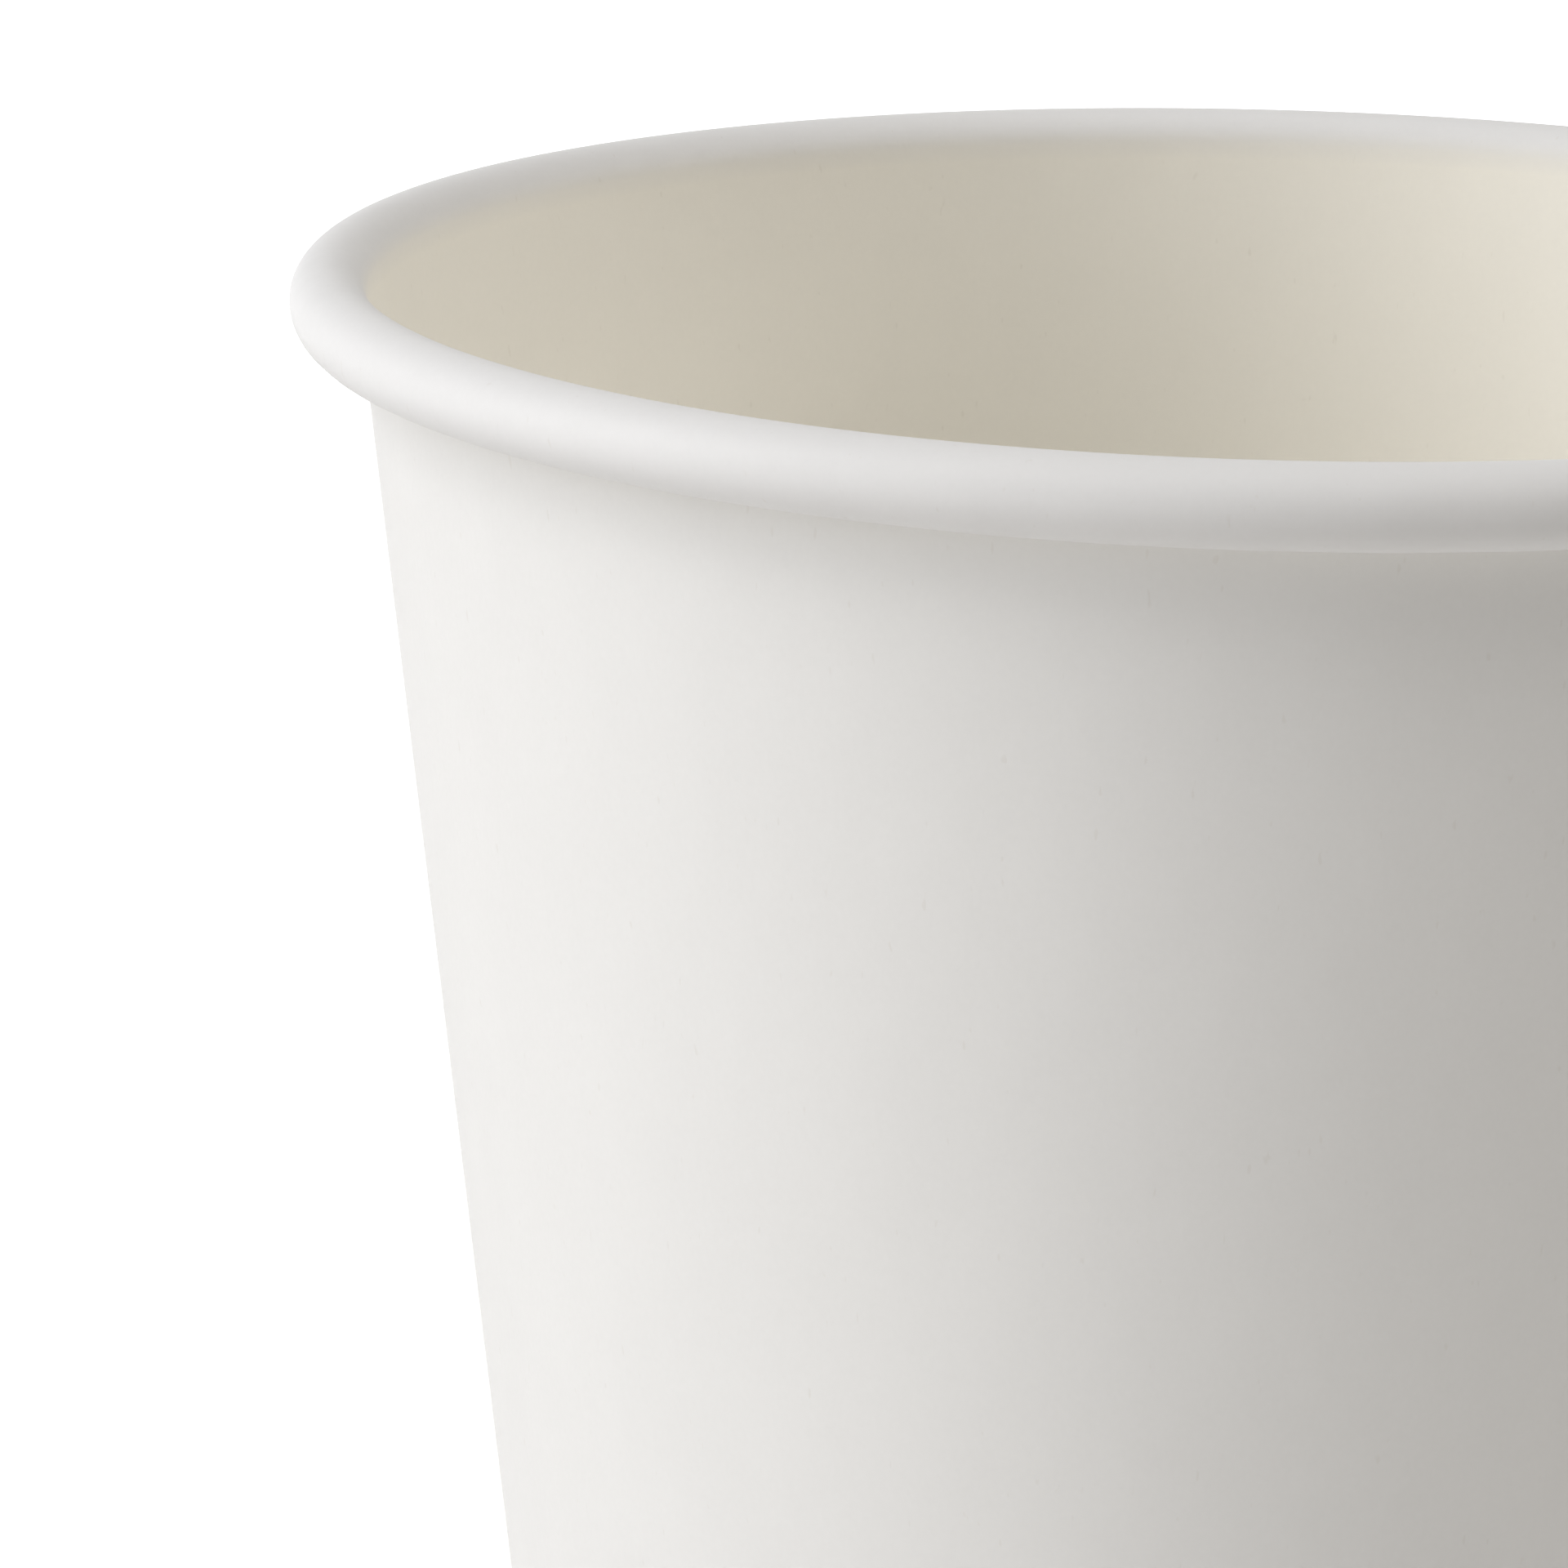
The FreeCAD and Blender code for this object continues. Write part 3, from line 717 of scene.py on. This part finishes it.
def inside_board(finish):
    """Coated board: a greyer white on the rolled rim, partly painted shade, turning down inside to a
    brighter cream that is partly the coating's tone and partly painted warm bounce light; with the
    coating's slight sheen.
    """
    nodes = Nodes("coated_board_inside")
    # The cream attribute fades the rim's white into the cream. This is partly the coating's tone and partly
    # painted bounce light, brighter and warmer down inside.
    attribute = nodes.add("ShaderNodeAttribute", attribute_name="cream")
    plain = nodes.blend(attribute.outputs["Fac"], tuple(finish.rim), tuple(finish.inside))
    tone = board_colour(nodes, finish, plain, depth=0.010)
    nodes.link(tone, nodes.shader.inputs["Base Color"])
    rough = nodes.spread(nodes.noise(3 * finish.grain, detail=3.0), 0.3, 0.7, 0.5, 0.62)
    nodes.link(rough, nodes.shader.inputs["Roughness"])
    nodes.shader.inputs["Specular IOR Level"].default_value = 0.35
    board_relief(nodes, finish, strength=0.35)
    return nodes.material


def raw_board(finish):
    """The cut edge of the board: rough and fibrous."""
    nodes = Nodes("raw_board_edge")
    layers = nodes.spread(nodes.noise(finish.layer, detail=3.0, upright=0.5), 0.3, 0.7, 0.0, 1.0)
    edge = nodes.blend(layers, scaled(finish.raw, 0.88), tuple(finish.raw))
    nodes.link(edge, nodes.shader.inputs["Base Color"])
    nodes.shader.inputs["Roughness"].default_value = 0.9
    nodes.shader.inputs["Specular IOR Level"].default_value = 0.2
    nodes.bump(layers, finish.raw_relief, strength=0.6)
    return nodes.material


def board_materials(finish):
    """The cup's three surfaces, in the order of the faces' slots, made once."""
    names = ("white_board_outside", "coated_board_inside", "raw_board_edge")
    makers = (outside_board, inside_board, raw_board)
    return [bpy.data.materials.get(name) or make(finish) for name, make in zip(names, makers)]


def dress(piece, materials, node):
    """Gives a piece its materials and puts it in the place of its solid."""
    for material in materials:
        piece.data.materials.append(material)
    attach(piece, "root")
    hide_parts(node)


class CUP_OT_side_wall(bpy.types.Operator):
    """Builds the side wall: one board, wrapped, lapped, rolled at the rim and folded at the foot"""

    bl_idname = "cup.side_wall"
    bl_label = "Side wall"

    def execute(self, context):
        scene = context.scene
        sizes, seam, surface, finish = scene.cup_sizes, scene.cup_seam, scene.cup_surface, scene.cup_finish
        plan = WallPlan(sizes)
        outline = plan.section(sizes.disc_top)
        columns = SeamColumns(seam, SEAM_PITCH, WALL_ROWS)
        cream_and_bounce_top = plan.curl.y + 0.65 * plan.bead

        def face_of(station, column):
            face = outline.faces[station]
            edge = columns.outer_edge if face == OUTSIDE else columns.under_edge
            return RAW if columns.is_edge(column, edge) else face

        # Painted bounce light, partly real: the rim's white turns to cream from the bead's inner flank
        # down, where the coated face sees more of the cup's warm inside.
        def cream_and_bounce_of(point):
            if point.x >= plan.curl.x:
                return 0.0
            return smooth(0.0, finish.cream_and_bounce_fade, cream_and_bounce_top - point.y)

        offset = wall_offset(plan, seam, surface, sizes.disc_top)
        piece = sweep("cup_wall", outline, columns, offset, face_of, cream_and_bounce_of)
        dress(piece, board_materials(finish), "side_wall")
        return {"FINISHED"}


class CUP_OT_bottom(bpy.types.Operator):
    """Builds the bottom: a pressed disc of board with a skirt turned down"""

    bl_idname = "cup.bottom"
    bl_label = "Bottom"

    def execute(self, context):
        scene = context.scene
        sizes, surface, finish = scene.cup_sizes, scene.cup_surface, scene.cup_finish
        plan = WallPlan(sizes)
        outline, bend_start = disc_section(sizes, plan)
        columns = EvenColumns(ROWS_PER_PUCKER * surface.puckers)

        def face_of(station, column):
            return outline.faces[station]

        # The whole bottom takes the inside's cream, with its painted warm bounce light.
        def cream_and_bounce_of(point):
            return 1.0

        offset = disc_offset(surface, bend_start)
        piece = sweep("cup_bottom", outline, columns, offset, face_of, cream_and_bounce_of, closed=False)
        dress(piece, board_materials(finish), "bottom_disc")
        return {"FINISHED"}


def seen_directly(tree):
    """1 for what the camera sees directly, in a gloss or through glass, and 0 for light itself."""
    path = tree.nodes.new("ShaderNodeLightPath")
    running = path.outputs["Is Camera Ray"]
    for name in ("Is Glossy Ray", "Is Transmission Ray"):
        node = tree.nodes.new("ShaderNodeMath")
        node.operation = "MAXIMUM"
        tree.links.new(running, node.inputs[0])
        tree.links.new(path.outputs[name], node.inputs[1])
        running = node.outputs[0]
    return running


def set_world(stage):
    """Soft light from all round, and plain white where the camera looks."""
    world = bpy.data.worlds.new("studio")
    world.use_nodes = True
    bpy.context.scene.world = world
    tree = world.node_tree
    light = tree.nodes["Background"]
    light.inputs["Color"].default_value = (*stage.ambient_tint, 1.0)
    light.inputs["Strength"].default_value = stage.ambient
    white = tree.nodes.new("ShaderNodeBackground")
    white.inputs["Color"].default_value = (*WHITE, 1.0)
    mix = tree.nodes.new("ShaderNodeMixShader")
    tree.links.new(seen_directly(tree), mix.inputs[0])
    tree.links.new(light.outputs[0], mix.inputs[1])
    tree.links.new(white.outputs[0], mix.inputs[2])
    tree.links.new(mix.outputs[0], tree.nodes["World Output"].inputs["Surface"])


def add_floor(stage):
    """A wide pale floor that keeps the cup's soft shadow and is seen plain white further off."""
    reach = stage.floor_reach
    mesh = bpy.data.meshes.new("floor")
    places = [(-reach, -reach, 0.0), (reach, -reach, 0.0), (reach, reach, 0.0), (-reach, reach, 0.0)]
    mesh.from_pydata(places, [], [(0, 1, 2, 3)])
    floor = bpy.data.objects.new("floor", mesh)
    bpy.context.scene.collection.objects.link(floor)
    nodes = Nodes("pale_floor")
    nodes.shader.inputs["Base Color"].default_value = (*stage.floor_tint, 1.0)
    nodes.shader.inputs["Roughness"].default_value = 0.9
    nodes.shader.inputs["Specular IOR Level"].default_value = 0.1
    glow = nodes.add("ShaderNodeEmission")
    glow.inputs["Strength"].default_value = stage.floor_glow
    away = nodes.add("ShaderNodeVectorMath", operation="LENGTH")
    nodes.link(nodes.place, away.inputs[0])
    amount = nodes.add("ShaderNodeMath", operation="MULTIPLY")
    nodes.link(seen_directly(nodes.tree), amount.inputs[0])
    span = (stage.shadow_near, stage.shadow_far, stage.floor_white, 1.0)
    nodes.link(nodes.spread(away.outputs["Value"], *span), amount.inputs[1])
    mix = nodes.add("ShaderNodeMixShader")
    nodes.link(amount.outputs[0], mix.inputs[0])
    nodes.link(nodes.shader.outputs[0], mix.inputs[1])
    nodes.link(glow.outputs[0], mix.inputs[2])
    nodes.link(mix.outputs[0], nodes.output.inputs["Surface"])
    mesh.materials.append(nodes.material)


def add_lamp(name, side, tall, stage, target):
    """A large soft lamp turned to the target. It stands on the left where side is 1, or on the right."""
    bearing, height, power, tint = (
        getattr(stage, f"{name}_{part}") for part in ("bearing", "height", "power", "tint")
    )
    turned = -math.pi / 2 - side * bearing
    level = math.cos(height)
    away = Vector((level * math.cos(turned), level * math.sin(turned), math.sin(height)))
    lamp = bpy.data.lights.new(name, "AREA")
    lamp.shape = "RECTANGLE"
    lamp.size = stage.lamp_size
    lamp.size_y = tall
    lamp.energy = power
    lamp.color = tint
    holder = bpy.data.objects.new(name, lamp)
    holder.rotation_euler = away.to_track_quat("Z", "Y").to_euler()
    holder.location = target + away * stage.lamp_distance
    bpy.context.scene.collection.objects.link(holder)


def add_camera(stage, target):
    """The camera, at the photograph's viewing angle."""
    across = Vector((math.cos(stage.yaw), -math.sin(stage.yaw), 0.0))
    level = math.cos(stage.pitch)
    ahead = Vector((math.sin(stage.yaw) * level, math.cos(stage.yaw) * level, math.sin(stage.pitch)))
    upward = across.cross(ahead)
    right = across * math.cos(stage.roll) + upward * math.sin(stage.roll)
    above = upward * math.cos(stage.roll) - across * math.sin(stage.roll)
    lens = bpy.data.cameras.new("camera")
    lens.lens = stage.lens
    lens.clip_start = 0.01
    camera = bpy.data.objects.new("camera", lens)
    camera.matrix_world = Matrix((right, above, -ahead)).transposed().to_4x4()
    away = Vector((0.0, -math.cos(stage.elevation), math.sin(stage.elevation)))
    camera.location = target + away * stage.distance
    bpy.context.scene.collection.objects.link(camera)
    bpy.context.scene.camera = camera


class CUP_OT_stage(bpy.types.Operator):
    """Sets up the pale floor, the soft light and the camera"""

    bl_idname = "cup.stage"
    bl_label = "Studio"

    def execute(self, context):
        scene = context.scene
        sizes, stage = scene.cup_sizes, scene.cup_stage
        rim = Vector((0.0, 0.0, sizes.height - sizes.bead_radius))
        scene.view_settings.view_transform = "Standard"
        set_world(stage)
        add_floor(stage)
        lamps = (("key", 1, stage.key_tall), ("fill", -1, stage.lamp_size), ("high", 1, stage.lamp_size))
        for name, side, tall in lamps:
            add_lamp(name, side, tall, stage, rim / 2)
        add_camera(stage, rim)
        return {"FINISHED"}


class CUP_PT_panel(bpy.types.Panel):
    """Lists the cup's pieces, its sizes and its finish"""

    bl_idname = "CUP_PT_panel"
    bl_label = "Paper Cup"
    bl_space_type = "VIEW_3D"
    bl_region_type = "UI"
    bl_category = "Paper Cup"

    def draw(self, context):
        layout = self.layout
        for operator in OPERATORS:
            layout.operator(operator.bl_idname)
        for name, group in GROUPS.items():
            box = layout.box()
            for field in group.__annotations__:
                box.prop(getattr(context.scene, name), field)


GROUPS = {
    "cup_sizes": CupSizes,
    "cup_seam": CupSeam,
    "cup_surface": CupSurface,
    "cup_finish": BoardFinish,
    "cup_stage": CupStage,
}
OPERATORS = (CUP_OT_side_wall, CUP_OT_bottom, CUP_OT_stage)
CLASSES = (*GROUPS.values(), *OPERATORS, CUP_PT_panel)


def register():
    """Adds the cup's classes and its properties to Blender."""
    for kind in CLASSES:
        bpy.utils.register_class(kind)
    for name, group in GROUPS.items():
        setattr(bpy.types.Scene, name, PointerProperty(type=group))


def unregister():
    """Takes them out again."""
    for name in GROUPS:
        delattr(bpy.types.Scene, name)
    for kind in reversed(CLASSES):
        bpy.utils.unregister_class(kind)


def main():
    """Builds the cup and its stage."""
    register()
    bpy.ops.cup.side_wall()
    bpy.ops.cup.bottom()
    bpy.ops.cup.stage()


if __name__ == "__main__":
    main()
